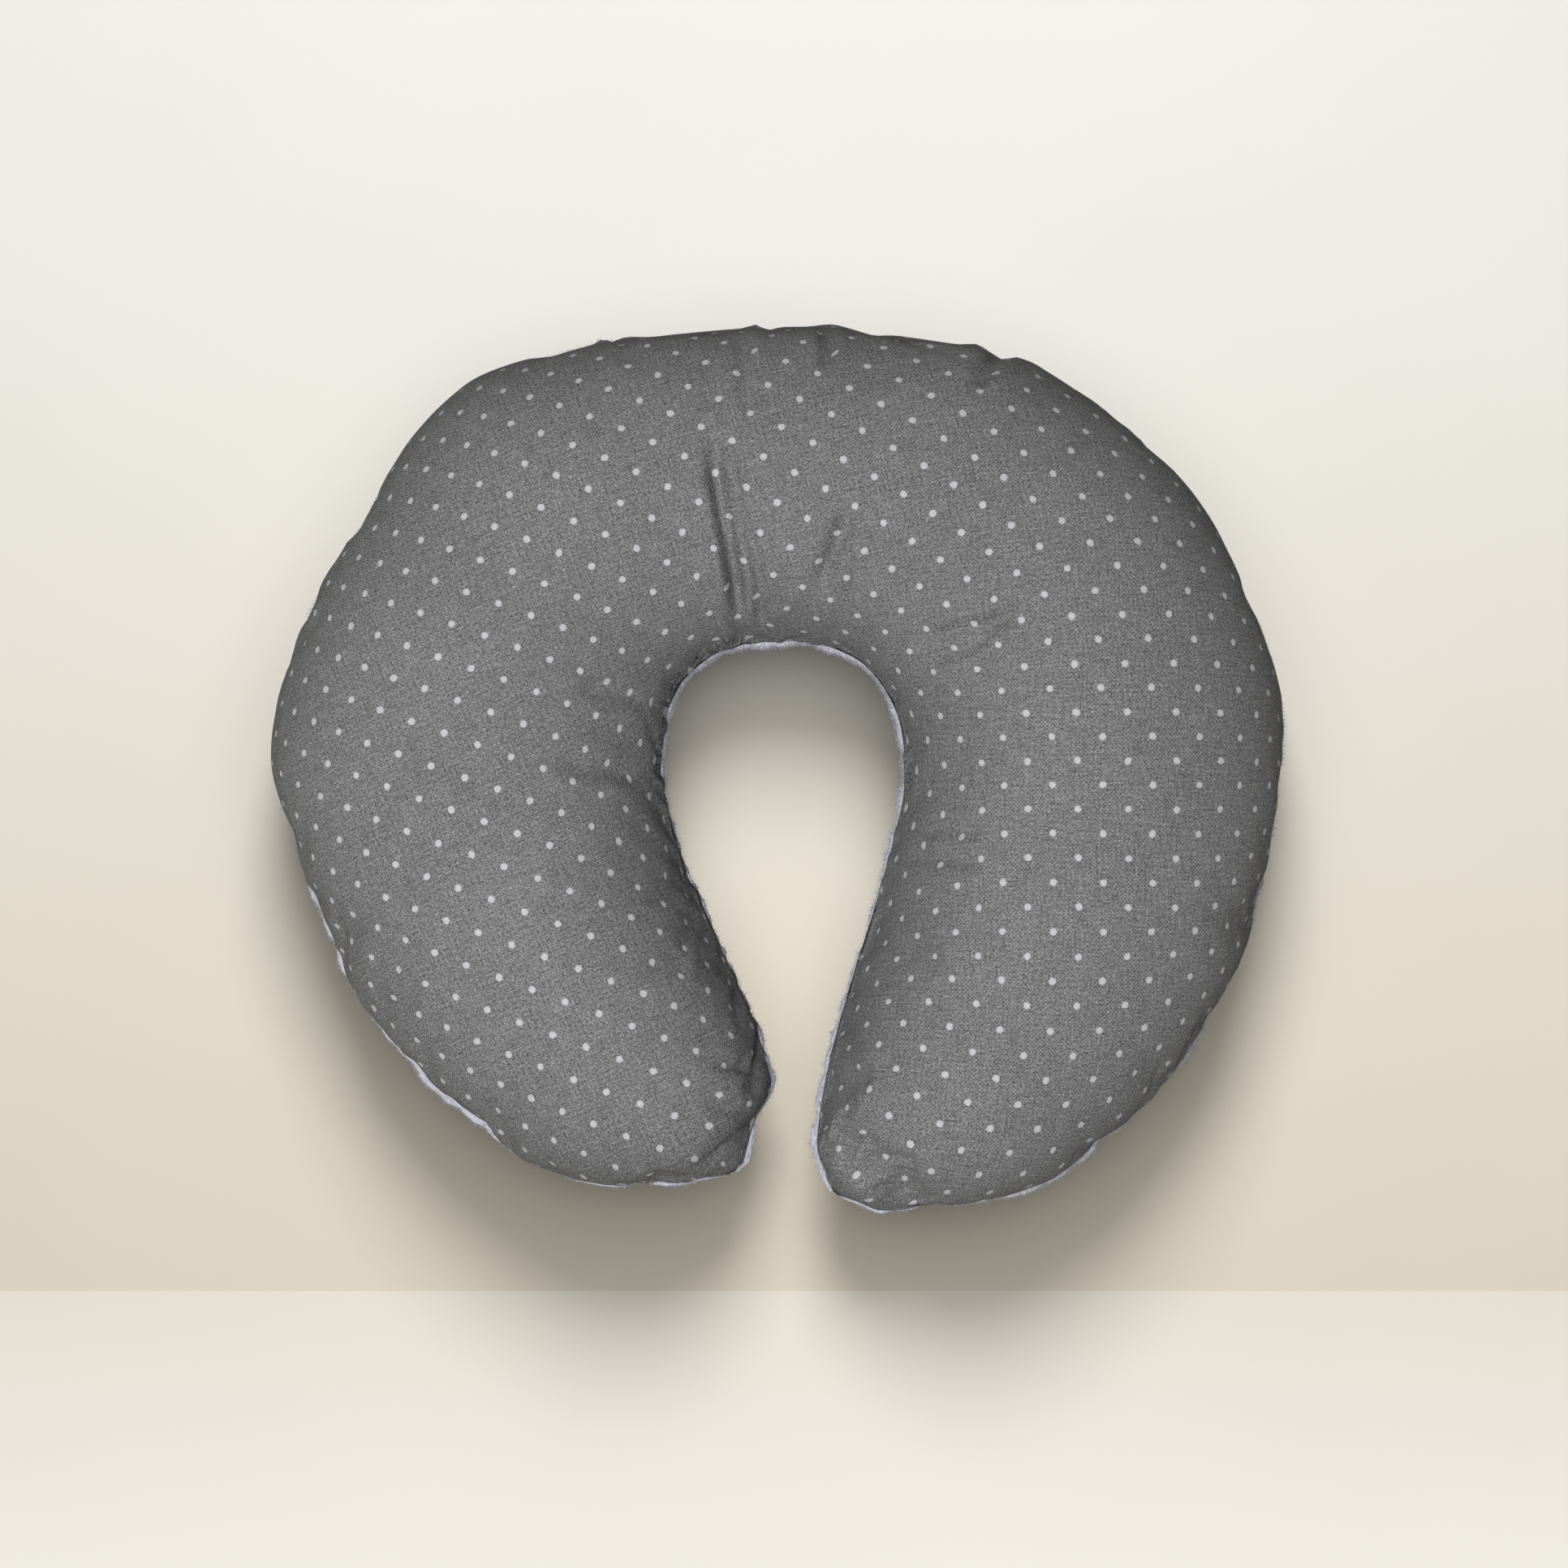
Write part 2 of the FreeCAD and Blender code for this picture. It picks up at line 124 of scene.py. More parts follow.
def spline(points, at):
    """A smooth curve through a row of points, at shares from 0 to 1 of the way along it."""
    points = np.asarray(points, float)
    steps = np.sqrt(np.linalg.norm(np.diff(points, axis=0), axis=1))
    knots = np.concatenate([[0], np.cumsum(steps)])
    slope = np.gradient(points, knots, axis=0)
    where = np.clip(at, 0, 1) * knots[-1]
    i = np.clip(np.searchsorted(knots, where, side="right") - 1, 0, len(knots) - 2)
    h = (knots[i + 1] - knots[i])[:, None]
    t = ((where - knots[i]) / h[:, 0])[:, None]
    a, b, c, d = points[i], points[i + 1], slope[i] * h, slope[i + 1] * h
    near = (2 * t**3 - 3 * t**2 + 1) * a + (t**3 - 2 * t**2 + t) * c
    return near + (3 * t**2 - 2 * t**3) * b + (t**3 - t**2) * d


def smoothstep(low, high, x):
    """0 at low and 1 at high, eased at both ends. low may be the larger of the two."""
    t = np.clip((x - low) / (high - low), 0, 1)
    return t * t * (3 - 2 * t)


def fitted(pairs):
    """The drawn seam points, stretched and moved so that their outline fills the frame's box."""
    outline = pairs.reshape(-1, 2)
    low, high = outline.min(0), outline.max(0)
    box_low, box_high = (np.array([c.x, c.y]) / MM for c in cad_box)
    return (pairs - low) * (box_high - box_low) / (high - low) + box_low


def seam_curves(count):
    """Inner and outer seam points of columns spread evenly along the arms.

    The last of the three is each column's distance from the left tip.
    """
    pairs = fitted(np.array(SECTIONS, float))
    both = spline(pairs.reshape(len(pairs), 4), np.linspace(0, 1, ARM_SAMPLES))
    middle = (both[:, :2] + both[:, 2:]) / 2
    travelled = np.concatenate([[0], np.cumsum(np.linalg.norm(np.diff(middle, axis=0), axis=1))])
    length = travelled[-1]
    at = np.linspace(-TIP_ROUND, length + TIP_ROUND, count)
    inner = np.stack([np.interp(at, travelled, both[:, k]) for k in (0, 1)], 1)
    outer = np.stack([np.interp(at, travelled, both[:, k]) for k in (2, 3)], 1)
    for end, near, beyond in ((0, TIP_SAMPLES, -at), (-1, -1 - TIP_SAMPLES, at - length)):
        past = beyond > 0
        heading = unit(middle[end] - middle[near])
        shrink = np.sqrt(np.clip(1 - (beyond[past] / TIP_ROUND) ** 2, THINNEST_TIP, 1))[:, None]
        centre = middle[end] + heading * beyond[past][:, None]
        reach = (both[end, 2:] - both[end, :2]) / 2
        inner[past] = centre - reach * shrink
        outer[past] = centre + reach * shrink
    return inner, outer, at


def half_height(half_width):
    """Height of the stuffed arm over or under its seam, for its half width."""
    free = ROUNDNESS * np.maximum(half_width, 0.5)
    return (free**-3.0 + LOFT_LIMIT**-3.0) ** (-1 / 3)


def stuffed_points(inner, outer, shares, side, taken_in=0.0):
    """Points over (side 1) or under (side -1) the seam's plane: columns by rows by 3.

    They run from the inner to the outer seam. shares is one row of shares for every column, or one
    for each. taken_in lowers the swell, for an inner layer.
    """
    middle = (inner + outer) / 2
    reach = (outer - inner) / 2
    height = half_height(np.linalg.norm(reach, axis=1)) * (TOP_RISE if side > 0 else 1)
    height = np.maximum(height - taken_in, 0.3 * height)
    angle = math.pi * (1 - np.broadcast_to(shares, (len(inner), shares.shape[-1])))
    points = np.zeros((*angle.shape, 3))
    points[:, :, :2] = middle[:, None] + reach[:, None] * np.cos(angle)[:, :, None]
    points[:, :, 2] = SEAM_HEIGHT + side * height[:, None] * np.sin(angle)
    points[:, :, 2] = np.maximum(points[:, :, 2], FLOOR + taken_in)
    return points


def normals_of(points, side):
    """Outward normals of a grid of points."""
    along = np.gradient(points, axis=0)
    across = np.gradient(points, axis=1)
    return unit(np.cross(along, across) * side)


def new_piece(name, points, faces):
    """A smooth-shaded mesh in the scene, from points in millimetres."""
    mesh = bpy.data.meshes.new(name)
    mesh.from_pydata((points.reshape(-1, 3) * MM).tolist(), [], faces)
    mesh.polygons.foreach_set("use_smooth", [True] * len(faces))
    mesh.update()
    piece = bpy.data.objects.new(name, mesh)
    bpy.context.scene.collection.objects.link(piece)
    return piece


def closed_ring(top, back):
    """Two grids as one: over the top from the inner seam to the outer one, and back underneath."""
    return np.concatenate([top, back[:, -2:0:-1]], axis=1)


def ring_faces(columns, around):
    """Faces of a closed ring swept along the arms, with one face over each end."""
    index = np.arange(columns * around).reshape(columns, around)
    turned = np.roll(index, -1, axis=1)
    quads = np.stack([index[:-1], index[1:], turned[1:], turned[:-1]], -1).reshape(-1, 4)
    return [*quads.tolist(), index[0].tolist(), index[-1, ::-1].tolist()]


# ---- the zip's slot, where the frame has it ------------------------------------------------------
slider_joint = next(j for j in frame["joints"] if j["name"] == "slider_travel")
ZIP_CENTRE = np.array(slider_joint["pos_m"][:2]) / MM
tack_low, tack_high = (np.array(c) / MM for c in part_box("zipper_bar_tacks"))
HEM_FACE = 6.4  # from the cover's edge in to the face of the hem on the tape
HEM_LENGTH = 7.0
SLOT_HALF = tack_high[2] - SEAM_HEIGHT + 0.2
SLOT_EASE = 5.0  # length over which the slot's ends close
SLOT_PAST_TACK = 4.0  # how far the slot stays open past the bar tack on the right


def slot_opening(outer):
    """How far the slot is open at each column: 1 along the zip, 0 where the two panels meet."""
    away = outer - ZIP_CENTRE
    beyond = np.maximum(tack_low[0] - outer[:, 0], outer[:, 0] - tack_high[0] - SLOT_PAST_TACK)
    at_crown = away[:, 1] > 0
    return at_crown * smoothstep(SLOT_EASE, 0, beyond)


# ---- fabric that swells --------------------------------------------------------------------------
SWELL_COLUMNS = 200
SWELL_ROWS = 44
SWELL_FRAMES = 18
SWELL_PRESSURE = 4.0
SWELL_SLACK = 0.035  # share by which the cloth is cut too large, so that it puckers at the seam
SWELL_CAP = 5.0  # mm, which no point's move goes past
SWELL_BENDING = 0.2
SWELL_QUALITY = 5


def cloth_bag(ring):
    """The plain shape as a closed bag of cloth, held along both seams and at both ends."""
    columns, around = ring.shape[:2]
    bag = new_piece("swelling_cloth", ring, ring_faces(columns, around))
    index = np.arange(columns * around).reshape(columns, around)
    seams = index[:, [0, SWELL_ROWS - 1]].ravel().tolist()
    ends = index[[0, 1, -2, -1]].ravel().tolist()
    bag.vertex_groups.new(name="seam").add(seams + ends, 1.0, "REPLACE")
    cloth = bag.modifiers.new("Cloth", "CLOTH")
    cloth.settings.vertex_group_mass = "seam"
    cloth.settings.shrink_min = -SWELL_SLACK
    cloth.settings.use_pressure = True
    cloth.settings.uniform_pressure_force = SWELL_PRESSURE
    cloth.settings.effector_weights.gravity = 0
    cloth.settings.quality = SWELL_QUALITY
    cloth.settings.bending_stiffness = SWELL_BENDING
    cloth.collision_settings.use_collision = False
    return bag


def swelled(ring):
    """The ring's points after the simulation, in millimetres."""
    bag = cloth_bag(ring)
    scene = bpy.context.scene
    for number in range(1, SWELL_FRAMES + 1):
        scene.frame_set(number)
    done = bag.evaluated_get(bpy.context.evaluated_depsgraph_get()).to_mesh()
    places = np.zeros(ring.size)
    done.vertices.foreach_get("co", places)
    scene.frame_set(1)
    mesh = bag.data
    bpy.data.objects.remove(bag)
    bpy.data.meshes.remove(mesh)
    return places.reshape(ring.shape) / MM


def swelling():
    """How far the stuffed cloth moves from the plain shape, for the top and for the back."""
    inner, outer, _ = seam_curves(SWELL_COLUMNS)
    shares = np.linspace(0, 1, SWELL_ROWS)
    top = stuffed_points(inner, outer, shares, 1)
    back = stuffed_points(inner, outer, shares, -1)
    ring = closed_ring(top, back)
    moved = swelled(ring) - ring
    far = np.linalg.norm(moved, axis=2, keepdims=True)
    print("swelling: mean", far.mean(), "largest", far.max())
    moved = moved * (SWELL_CAP * np.tanh(far / SWELL_CAP) / np.maximum(far, 1e-9))
    move_back = np.concatenate([moved[:, :1], moved[:, : SWELL_ROWS - 2 : -1]], axis=1)
    return moved[:, :SWELL_ROWS], move_back


def resampled(grid, columns, rows):
    """A grid of vectors at a finer count of columns and rows, eased a little between the old ones."""
    for axis, count in ((0, columns), (1, rows)):
        at = np.linspace(0, grid.shape[axis] - 1, count)
        below = np.minimum(at.astype(int), grid.shape[axis] - 2)
        share = at - below
        shape = [1, 1, 1]
        shape[axis] = count
        share = share.reshape(shape)
        share = share * share * (3 - 2 * share) * 0.5 + share * 0.5
        grid = np.take(grid, below, axis) * (1 - share) + np.take(grid, below + 1, axis) * share
    return grid


# ---- creases and puckers -------------------------------------------------------------------------
# Lines in plan, each with its width, its depth and the height of the rolls beside it.
CREASES = [
    ([(-29, 168), (-30, 143), (-27, 127), (-22, 104), (-19, 84), (-17, 66)], 5.0, 8.5, 2.6),
    ([(-19, 131), (-14, 112), (-10, 91), (-8, 74), (-8, 65)], 5.0, 3.6, 0.8),
    ([(-16, 222), (-16, 200), (-14, 180), (-13, 165)], 5.0, 2.8, 1.0),
    ([(36, 126), (32, 112), (26, 98), (20, 84)], 5.5, 4.4, 1.4),
    ([(122, 73), (101, 66), (84, 62), (70, 58)], 5.0, 4.8, 1.5),
    ([(108, 63), (91, 55), (70, 50)], 4.5, 4.4, 1.4),
    ([(101, -35), (84, -34), (67, -32)], 6.0, 2.2, 0.7),
    ([(101, -49), (84, -47), (62, -44)], 6.0, 2.4, 0.7),
    ([(-98, 36), (-80, 35), (-62, 33)], 7.0, 2.8, 0.8),
    ([(-107, 0), (-88, -3), (-66, -5)], 7.0, 2.6, 0.8),
    ([(-64, -70), (-50, -60), (-44, -54)], 6.0, 2.0, 0.6),
    ([(22, 224), (25, 208), (24, 194)], 4.0, 4.6, 1.6),
    ([(112, 212), (106, 198), (98, 184)], 4.5, 4.4, 1.6),
    ([(-78, 216), (-74, 204), (-70, 196)], 6.0, 1.2, 0.6),
    ([(-224, -88), (-210, -82), (-196, -78)], 6.0, 1.6, 0.6),
    ([(-199, -128), (-186, -118), (-174, -110)], 6.0, 1.8, 0.6),
    ([(-154, -184), (-146, -172), (-138, -160)], 6.0, 1.6, 0.6),
    ([(-8, -152), (-20, -150), (-34, -146)], 4.0, 2.2, 0.8),
    ([(-10, -174), (-24, -170), (-38, -166)], 5.0, 2.4, 0.8),
    ([(-58, -214), (-60, -200), (-62, -188)], 5.0, 1.6, 0.5),
    ([(60, -226), (62, -212), (66, -200)], 6.0, 1.4, 0.5),
    ([(28, -160), (40, -156), (52, -152)], 6.0, 1.2, 0.4),
]


def line_distance(plan, line):
    """Distance of every plan point from a line, and how far along it that is, from 0 to 1."""
    best = np.full(plan.shape[:-1], 1e9)
    place = np.zeros(plan.shape[:-1])
    line = np.array(line, float)
    count = len(line) - 1
    for k in range(count):
        span = line[k + 1] - line[k]
        t = np.clip(((plan - line[k]) @ span) / (span @ span), 0, 1)
        d = np.linalg.norm(plan - line[k] - t[..., None] * span, axis=-1)
        place = np.where(d < best, (k + t) / count, place)
        best = np.minimum(best, d)
    return best, place


def creasing(points, normals):
    """How far the cloth dips along its creases."""
    sunk = np.zeros(points.shape[:2])
    for line, width, depth, roll in CREASES:
        d, place = line_distance(points[:, :, :2], line)
        fade = smoothstep(0, 0.3, place) * (1 - 0.8 * smoothstep(0.75, 1, place))
        x = d / width
        valley = -depth * np.exp(-((1.5 * x) ** 2))
        rolls = roll * np.exp(-((1.6 * (x - 1.6)) ** 2))
        sunk += fade * (valley + rolls)
    return normals * sunk[:, :, None]


def ripple(at, seed, length):
    """A smooth random row of values between -1 and 1 with the given typical length."""
    rng = np.random.default_rng(seed)
    knots = np.arange(at.min() - 2 * length, at.max() + 3 * length, length)
    values = rng.uniform(-1, 1, len(knots))
    x = (at - knots[0]) / length
    i = x.astype(int)
    t = x - i
    t = t * t * (3 - 2 * t)
    return values[i] * (1 - t) + values[i + 1] * t


# Gathers at the seams: their length along the seam, how far they run in as a share, and their height.
GATHERS = [
    (9.0, 0.055, 0.7),
    (17.0, 0.11, 1.1),
    (34.0, 0.2, 1.3),
]
GATHER_RISE = 0.012  # share of the panel over which they rise from the sewn edge
TOP_SEED = 5
BACK_SEED = 45
BACK_STRENGTH = 0.5  # of the back's gathers, to the top's


def puckering(at, shares, normals, seed, strength):
    """Small gathers that run in from each seam."""
    moved = np.zeros((len(at), len(shares)))
    for k, near in enumerate((shares, 1 - shares)):
        for length, reach, height in GATHERS:
            fall = smoothstep(0, GATHER_RISE, near) * np.exp(-near / reach)
            row = ripple(at, seed + 10 * k + int(length), length)[:, None]
            moved += row * fall * height * strength
    return normals * moved[:, :, None]


# Places on the sewn edge where it stands out or dips in: x, y, width and how far out.
EDGE_BUMPS = [
    (-11, 223, 4.0, 2.0),
    (-4, 223, 4.0, -2.0),
    (28, 223, 9.0, 2.0),
    (50, 221, 7.0, -1.8),
    (101, 213, 6.0, 2.4),
    (118, 207, 7.0, -2.2),
    (-77, 216, 9.0, 2.4),
    (-221, -86, 9.0, -1.6),
    (-196, -127, 9.0, -1.8),
    (-152, -181, 9.0, -1.8),
    (-59, -213, 9.0, -1.2),
    (-4, -161, 4.0, 1.4),
    (-9, -174, 4.0, -1.4),
]
BUMP_NEAR = 12  # a seam that passes a place farther off than this isn't moved by it
BUMP_FADE = 0.12  # share of the panel over which a bump dies away


# ---- a panel of the cover ------------------------------------------------------------------------
TUCK = 2.4  # how far both panels turn in at the seam
TUCK_ROWS = 3
TUCK_STEP = 0.15  # height of each panel's tuck over or under the seam
HEM_ROWS = 4
NARROW_ARM = 12  # half width under which the tuck shrinks

# How far the plush back shows past the woven edge.
PEEK_SEED = 71
PEEK_LENGTH = 22.0
PEEK_INSIDE = 2.7
PEEK_LOWER_LEFT = 4.0
PEEK_RIGHT = 2.8
PEEK_LEFT_TIP = 3.0
PEEK_RIGHT_CORNER = 3.4
PEEK_RIGHT_TIP = 0.8
PEEK_SLOT_END = 3.4
PEEK_SLOT_WIDTH = 7
TIP_LINE = -205  # the arm tips lie beyond this y
# The bulge that shows it rises and fades over these shares of the panel.
PEEK_RISE = 0.03
PEEK_FADE = 0.09
PEEK_GAIN = 1.5


def plush_peek(at, outer):
    """How far the plush stands out past the woven edge, at the inner and at the outer seam."""
    bumps = 0.5 + 0.5 * ripple(at, PEEK_SEED, PEEK_LENGTH)
    inside = PEEK_INSIDE + 0.4 * bumps
    x, y = outer.T
    angle = np.degrees(np.arctan2(y, x))
    lower_left = smoothstep(-172, -164, angle) * smoothstep(-118, -128, angle)
    right = smoothstep(-70, -60, angle) * smoothstep(14, 4, angle) * (0.4 + 0.6 * bumps)
    right_tip = PEEK_RIGHT_CORNER * smoothstep(58, 46, x) + PEEK_RIGHT_TIP * smoothstep(130, 110, x)
    tips = (y < TIP_LINE) * np.where(x > 0, right_tip, PEEK_LEFT_TIP)
    slot_ends = 0
    # A tuft just past each of the two bar tacks.
    for end in (tack_low[0] - 4, tack_high[0] + 3):
        tuft = np.exp(-(((x - end) / PEEK_SLOT_WIDTH) ** 2))
        slot_ends = slot_ends + PEEK_SLOT_END * tuft * (y > 0)
    outside = np.maximum.reduce(
        [
            0.3 * bumps,
            PEEK_LOWER_LEFT * lower_left * (0.7 + 0.3 * bumps),
            PEEK_RIGHT * right,
            tips,
            slot_ends,
        ]
    )
    return inside, outside


def edge_bumps(inner, outer, shares, across):
    """How far the sewn edges wander out or in, dying away up the panel."""
    moved = np.zeros((len(inner), len(shares)))
    for x, y, width, out in EDGE_BUMPS:
        for seam, near, way in ((inner, shares, -1), (outer, 1 - shares, 1)):
            away = np.linalg.norm(seam - np.array([x, y]), axis=1)
            if away.min() < BUMP_NEAR:
                along = np.exp(-((away / width) ** 2))
                moved += way * out * along[:, None] * np.exp(-near / BUMP_FADE)
    return across[:, None] * moved[:, :, None]


def tuck_rows(points, across, shrink, opening, side):
    """The rows that turn in at the inner seam and at the outer seam, from the edge inwards."""
    rows_in, rows_out = [], []
    for k in range(1, TUCK_ROWS + 1):
        inward = TUCK * k / TUCK_ROWS * shrink
        for rows, edge, way in ((rows_in, 0, 1), (rows_out, -1, -1)):
            row = points[:, edge].copy()
            row[:, :2] += way * across * inward
            row[:, 2] = np.where(opening > 0, row[:, 2], SEAM_HEIGHT + side * TUCK_STEP)
            rows.append(row)
    return rows_in, rows_out


def hem_rows(points, across, shrink, opening, side):
    """The rows after the outer seam's tuck, which turn up the zip's tape as a hem."""
    rows = []
    for turn in np.linspace(0, 1, HEM_ROWS):
        inwards = min(1, 0.5 + turn * 1.5)
        upwards = max(0.0, turn * 1.5 - 0.5)
        row = points[:, -1].copy()
        deep = TUCK * shrink[:, 0] + (HEM_FACE - TUCK) * opening * inwards
        row[:, :2] -= across * deep[:, None]
        row[:, 2] += side * HEM_LENGTH * opening * upwards
        rows.append(row)
    return rows


def push_out_plush(points, at, outer, opening, across, even):
    """Moves the plush back's edges out to where they show past the woven panel."""
    inside, outside = plush_peek(at, outer)
    for amount, near, way in ((inside, even, -1), (outside * (1 - opening), 1 - even, 1)):
        bulge = smoothstep(0, PEEK_RISE, near) * np.exp(-near / PEEK_FADE) * PEEK_GAIN
        points[:, :, :2] += way * across[:, None] * (amount[:, None] * bulge)[:, :, None]


def panel_points(side, swell):
    """The outer face of one panel, with its turned-in edges and hem, and the two seams."""
    inner, outer, at = seam_curves(COLUMNS)
    opening = slot_opening(outer)
    reach = np.linalg.norm(outer - inner, axis=1) / 2
    height = half_height(reach) * (TOP_RISE if side > 0 else 1)
    lift = np.arcsin(np.clip(SLOT_HALF / height, 0, 0.9)) / math.pi * opening
    even = np.linspace(0, 1, ROWS)
    shares = even[None] * (1 - lift[:, None])
    plain = stuffed_points(inner, outer, shares, side)
    normals = normals_of(plain, side)
    # The cloth lies plain where the hem is sewn to the zip.
    free = (1 - opening[:, None] * smoothstep(0.86, 0.95, even)[None])[:, :, None]
    points = plain + resampled(swell, COLUMNS, ROWS) * free
    if side > 0:
        points += creasing(plain, normals) * free
    seed, strength = (TOP_SEED, 1.0) if side > 0 else (BACK_SEED, BACK_STRENGTH)
    points += puckering(at, even, normals, seed, strength) * free
    across = unit(outer - inner)
    points[:, :, :2] += edge_bumps(inner, outer, even, across)
    if side < 0:
        push_out_plush(points, at, outer, opening, across, even)
    points[:, :, 2] = np.maximum(points[:, :, 2], FLOOR)
    shrink = np.minimum(1, reach / NARROW_ARM)[:, None]
    rows_in, rows_out = tuck_rows(points, across, shrink, opening, side)
    rows_out += hem_rows(points, across, shrink, opening, side)
    grid = np.concatenate([np.stack(rows_in[::-1], 1), points, np.stack(rows_out, 1)], axis=1)
    return grid, inner, outer


def cloth_shell(name, grid, side, thickness):
    """A closed sheet of cloth: the outer face as given, the inner face a thickness behind it."""
    columns, rows = grid.shape[:2]
    behind = grid - normals_of(grid, side) * thickness[:, :, None]
    index = np.arange(columns * rows).reshape(columns, rows)
    quads = np.stack([index[:-1, :-1], index[1:, :-1], index[1:, 1:], index[:-1, 1:]], -1)
    quads = quads.reshape(-1, 4)
    count = columns * rows
    border = np.concatenate([index[:, 0], index[-1, 1:], index[-2::-1, -1], index[0, -2:0:-1]])
    following = np.roll(border, -1)
    rim = np.stack([following, border, border + count, following + count], -1)
    if side < 0:
        quads = quads[:, ::-1]
        rim = rim[:, ::-1]
    faces = np.concatenate([quads, quads[:, ::-1] + count, rim])
    vertices = np.concatenate([grid.reshape(-1, 3), behind.reshape(-1, 3)])
    return new_piece(name, vertices, faces.tolist())


# ---- where the print lies on the cloth -----------------------------------------------------------
# How far the print is turned on the cloth, in degrees, at shares of the way round.
PRINT_TURN = [
    (0.0, 24.0),
    (0.32, 24.0),
    (0.5, 16.0),
    (0.62, 6.0),
    (0.72, 0.0),
    (0.85, 0.0),
    (1.0, -12.0),
]
PRINT_ANCHOR = 0.8  # share of the way round where the print lies square to the frame
PRINT_BLUR = 20  # columns to either side over which the print's lie is evened out
PRINT_GATHER = 0.35  # of the cloth on the inside of the bend, how much is gathered up
BLUR_WEIGHTS = np.hanning(2 * PRINT_BLUR + 1) / np.hanning(2 * PRINT_BLUR + 1).sum()


def evened(row):
    """A row of values along the arms, each averaged with its neighbours."""
    return np.convolve(np.pad(row, PRINT_BLUR, mode="edge"), BLUR_WEIGHTS, mode="valid")


def arc_places(grid, middle, across):
    """Distance of each point over the cloth from the ridge above the arm's middle line."""
    gaps = np.linalg.norm(np.diff(grid, axis=1), axis=2)
    steps = range(-PRINT_BLUR, PRINT_BLUR + 1)
    gaps = sum(np.roll(gaps, k, axis=0) * BLUR_WEIGHTS[k + PRINT_BLUR] for k in steps)
    reach = np.concatenate([np.zeros((len(grid), 1)), np.cumsum(gaps, axis=1)], axis=1)
    upper = slice(grid.shape[1] // 4, 3 * grid.shape[1] // 4)
    offset = ((grid[:, upper, :2] - middle[:, None]) * across[:, None]).sum(axis=2)
    ridge = np.array([np.interp(0, offset[k], reach[k, upper]) for k in range(len(grid))])
    return reach - ridge[:, None]


def flat_places(grid, inner, outer):
    """Where each point of the panel lies on the flat cloth, as the bent panel carries its print."""
    count = len(grid)
    middle = (inner + outer) / 2
    step = np.gradient(middle, axis=0)
    heading = np.unwrap(np.arctan2(step[:, 1], step[:, 0]))
    turn = np.radians(evened(np.interp(np.linspace(0, 1, count), *zip(*PRINT_TURN))))
    heading = heading - turn
    length = np.linalg.norm(step, axis=1)
    path = np.stack([np.cos(heading), np.sin(heading)], 1) * length[:, None]
    path = np.cumsum(path, axis=0)
    anchor = int(PRINT_ANCHOR * count)
    path += middle[anchor] - path[anchor]
    reach = arc_places(grid, middle, unit(outer - inner))
    side_angle = evened(np.unwrap(np.arctan2(*(outer - inner).T[::-1])) - turn)
    side_way = np.stack([np.cos(side_angle), np.sin(side_angle)], 1)
    # On the inside of the bend the print is gathered, no tighter than the sections fan in.
    bend = np.maximum(-np.gradient(side_angle) / length, 1e-4)
    plan = np.linalg.norm(grid[:, :, :2] - middle[:, None], axis=2)
    most = plan + PRINT_GATHER * np.maximum(1 / bend[:, None] - plan, 0)
    reach = np.where(reach < 0, -np.minimum(-reach, most), reach)
    return path[:, None] + side_way[:, None] * reach[:, :, None]


def lay_print(piece, flat):
    """Stores the places on the flat cloth, in metres, as the UV map of both faces of the sheet."""
    mesh = piece.data
    layer = mesh.uv_layers.new(name="cloth")
    both = np.concatenate([flat.reshape(-1, 2), flat.reshape(-1, 2)]) * MM
    corners = np.zeros(len(mesh.loops), np.int32)
    mesh.loops.foreach_get("vertex_index", corners)
    layer.data.foreach_set("uv", both[corners].ravel())


# ---- procedural materials ------------------------------------------------------------------------
THREAD = 0.95  # mm between the woven cloth's threads
DOT_CELL = (25.1, 24.0)  # mm, the print's cell: a dot at each corner and one in the middle
DOT_SHIFT = (-1.5, 0.0)  # mm, where the first dot lies on the flat cloth
DOT_RADIUS = 1.75
PLAIN_WEAVE = 7.0  # radians of the casing's weave per mm
WAVE_TURN = 6.283  # the wave texture's scale is divided by this

# Colours: linear red, green and blue.
WOVEN_DARK = (0.122, 0.123, 0.121, 1)
WOVEN_LIGHT = (0.146, 0.145, 0.149, 1)
DOT_INK = (0.42, 0.42, 0.44, 1)
PLUSH_DARK = (0.37, 0.37, 0.455, 1)
PLUSH_LIGHT = (0.44, 0.435, 0.50, 1)
THREAD_LIGHT = (0.20, 0.20, 0.22, 1)
THREAD_DARK = (0.10, 0.10, 0.11, 1)
TAPE_LIGHT = (0.125, 0.125, 0.135, 1)
TAPE_DARK = (0.07, 0.07, 0.078, 1)
TEETH_DARK = (0.060, 0.060, 0.065, 1)
TEETH_LIGHT = (0.115, 0.115, 0.125, 1)
ENAMEL = (0.085, 0.085, 0.092, 1)
BARE_METAL = (0.42, 0.42, 0.43, 1)
LABEL_LIGHT = (0.86, 0.86, 0.84, 1)
LABEL_DARK = (0.72, 0.72, 0.70, 1)
CASING_LIGHT = (0.88, 0.87, 0.84, 1)
CASING_DARK = (0.74, 0.73, 0.70, 1)
FILL_LIGHT = (0.92, 0.92, 0.91, 1)
FILL_DARK = (0.82, 0.82, 0.81, 1)
# The paper's colours at the fold line (the wall's near one, the table's far one) are darker: painted
# corner shade, and the wall's is also a warmer paper tone.
WALL_WARM_FOLD_SHADE = (0.53, 0.485, 0.40, 1)
WALL_FAR = (0.51, 0.50, 0.467, 1)
TABLE_FOLD_SHADE = (0.59, 0.553, 0.483, 1)
TABLE_NEAR = (0.715, 0.695, 0.65, 1)


